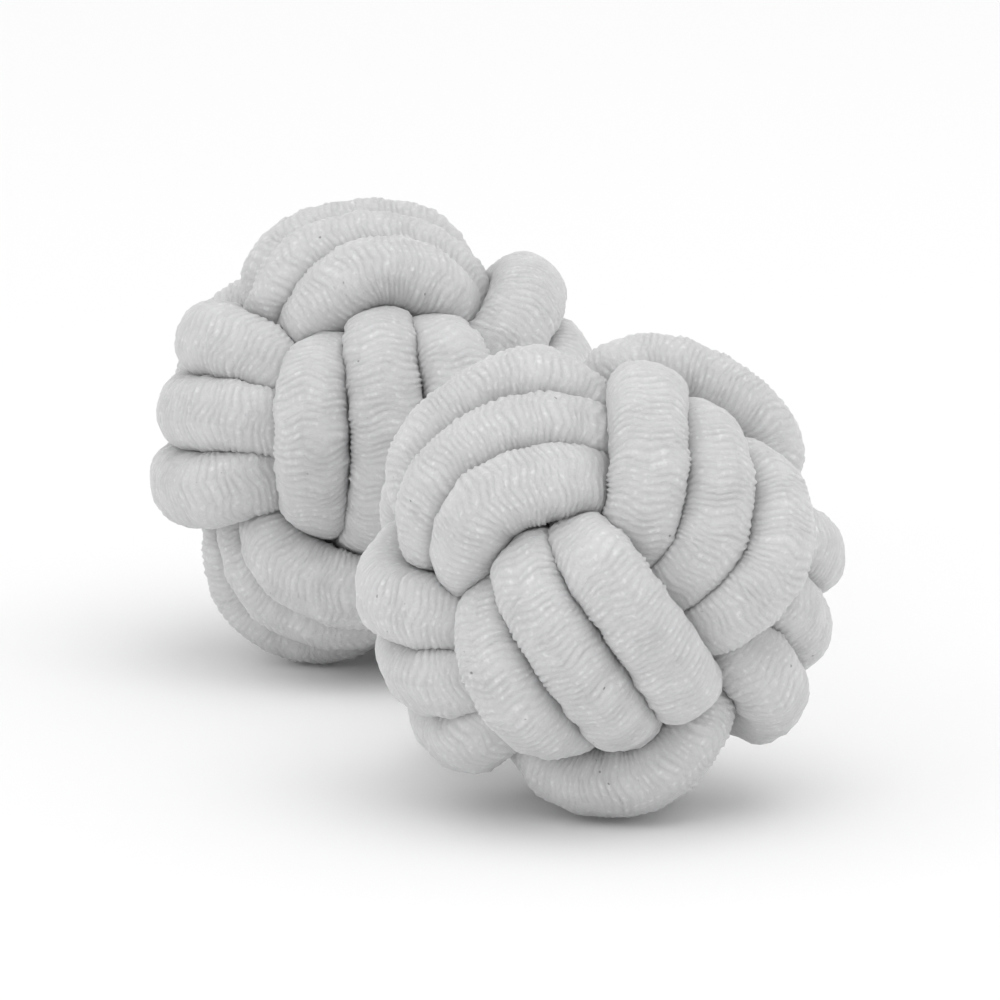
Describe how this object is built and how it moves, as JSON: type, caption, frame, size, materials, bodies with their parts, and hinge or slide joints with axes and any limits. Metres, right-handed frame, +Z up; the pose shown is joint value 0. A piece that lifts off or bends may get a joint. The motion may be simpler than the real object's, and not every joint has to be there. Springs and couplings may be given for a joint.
{
  "type": "knot cufflink",
  "caption": "White knot cufflink of covered elastic cord, with a round wound knot at each end of a short elastic link.",
  "frame": {"origin": "middle of the bounding box in X and Y, on the surface that the cufflink lies on", "axes": "+X along the link toward the front knot, +Z up, +Y completes the right-handed frame"},
  "size_m": [0.0284, 0.0118, 0.0112],
  "materials": {
    "cord": "matt, finely ribbed woven cover"
  },
  "bodies": {
    "root": {"knot_front": "cord", "knot_rear": "cord", "link": "cord"}
  },
  "joints": []
}
